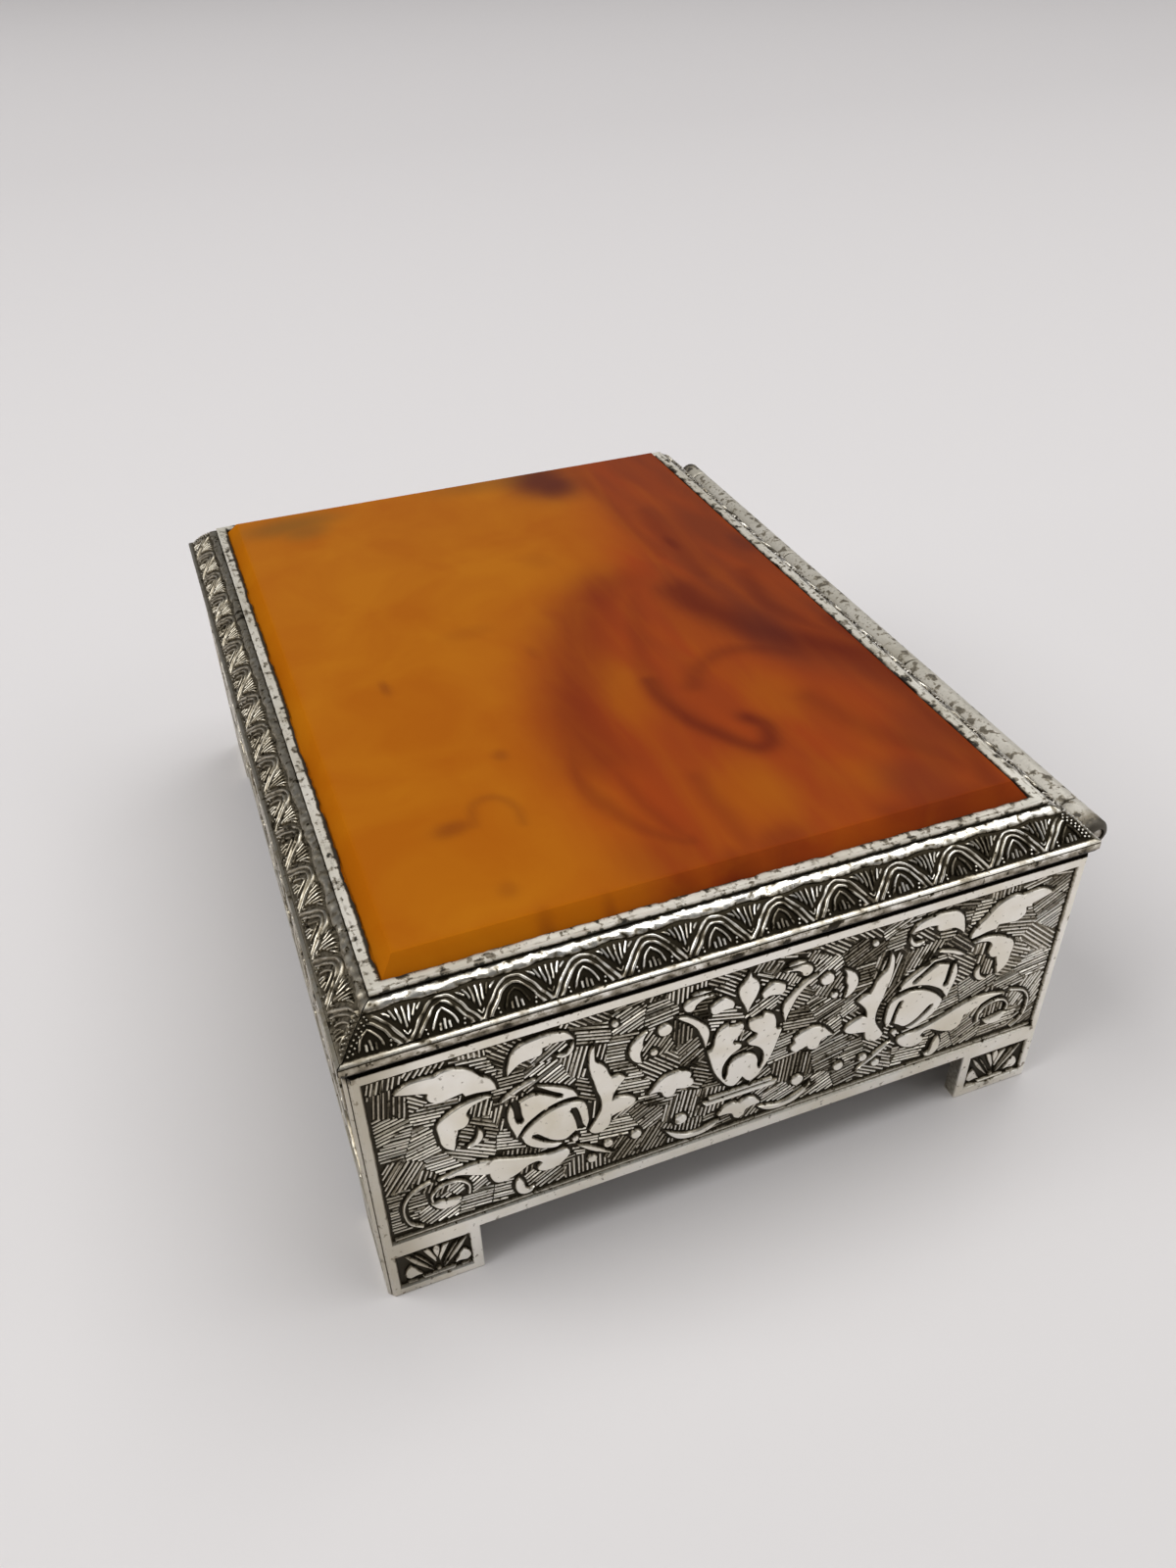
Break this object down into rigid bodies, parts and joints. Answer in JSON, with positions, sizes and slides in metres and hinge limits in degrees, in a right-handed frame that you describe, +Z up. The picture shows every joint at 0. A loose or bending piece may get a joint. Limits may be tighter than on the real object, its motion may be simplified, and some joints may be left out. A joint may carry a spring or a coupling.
{
  "type": "cigarette box",
  "caption": "Footed table box with relief-cast plated panels, cedar-lined compartments and a barrel-hinged lid that frames a bevelled slab of marbled amber resin.",
  "frame": {"origin": "on the table, under the middle of the whole outline, hinge barrel included", "axes": "+Z up, +X along the long side, -Y out of the front, hinge along the back at +Y"},
  "size_m": [0.135, 0.1042, 0.0524],
  "materials": {
    "plated_relief": "warm silver plate on cast white metal, polished high spots, dark patina in the recesses",
    "bezel_rim": "worn, flaked plating on a flat rim",
    "hinge_barrel": "plain plated tube, dulled and scuffed",
    "hinge_pin": "drawn steel wire",
    "tinned_sheet": "tinned sheet, dull",
    "amber_resin": "polished marbled translucent resin",
    "cedar": "planed, unvarnished cedar"
  },
  "bodies": {
    "case": {"front_panel": "plated_relief", "back_panel": "plated_relief", "left_panel": "plated_relief", "right_panel": "plated_relief", "base_plate": "tinned_sheet", "lining_floor": "cedar", "lining_front": "cedar", "lining_back": "cedar", "lining_left": "cedar", "lining_right": "cedar", "divider": "cedar", "hinge_body_leaf": "hinge_barrel", "hinge_pin": "hinge_pin"},
    "lid": {"lid_front_moulding": "plated_relief", "lid_back_moulding": "plated_relief", "lid_left_moulding": "plated_relief", "lid_right_moulding": "plated_relief", "slab_bezel": "bezel_rim", "amber_slab": "amber_resin", "slab_backing": "tinned_sheet", "lid_lining": "cedar", "hinge_lid_leaf": "hinge_barrel"}
  },
  "joints": [
    {"name": "lid_hinge", "type": "hinge", "parent": "case", "child": "lid", "pos_m": [0, 0.05015, 0.04415], "axis": [-1, 0, 0], "range_deg": [0, 105]}
  ]
}
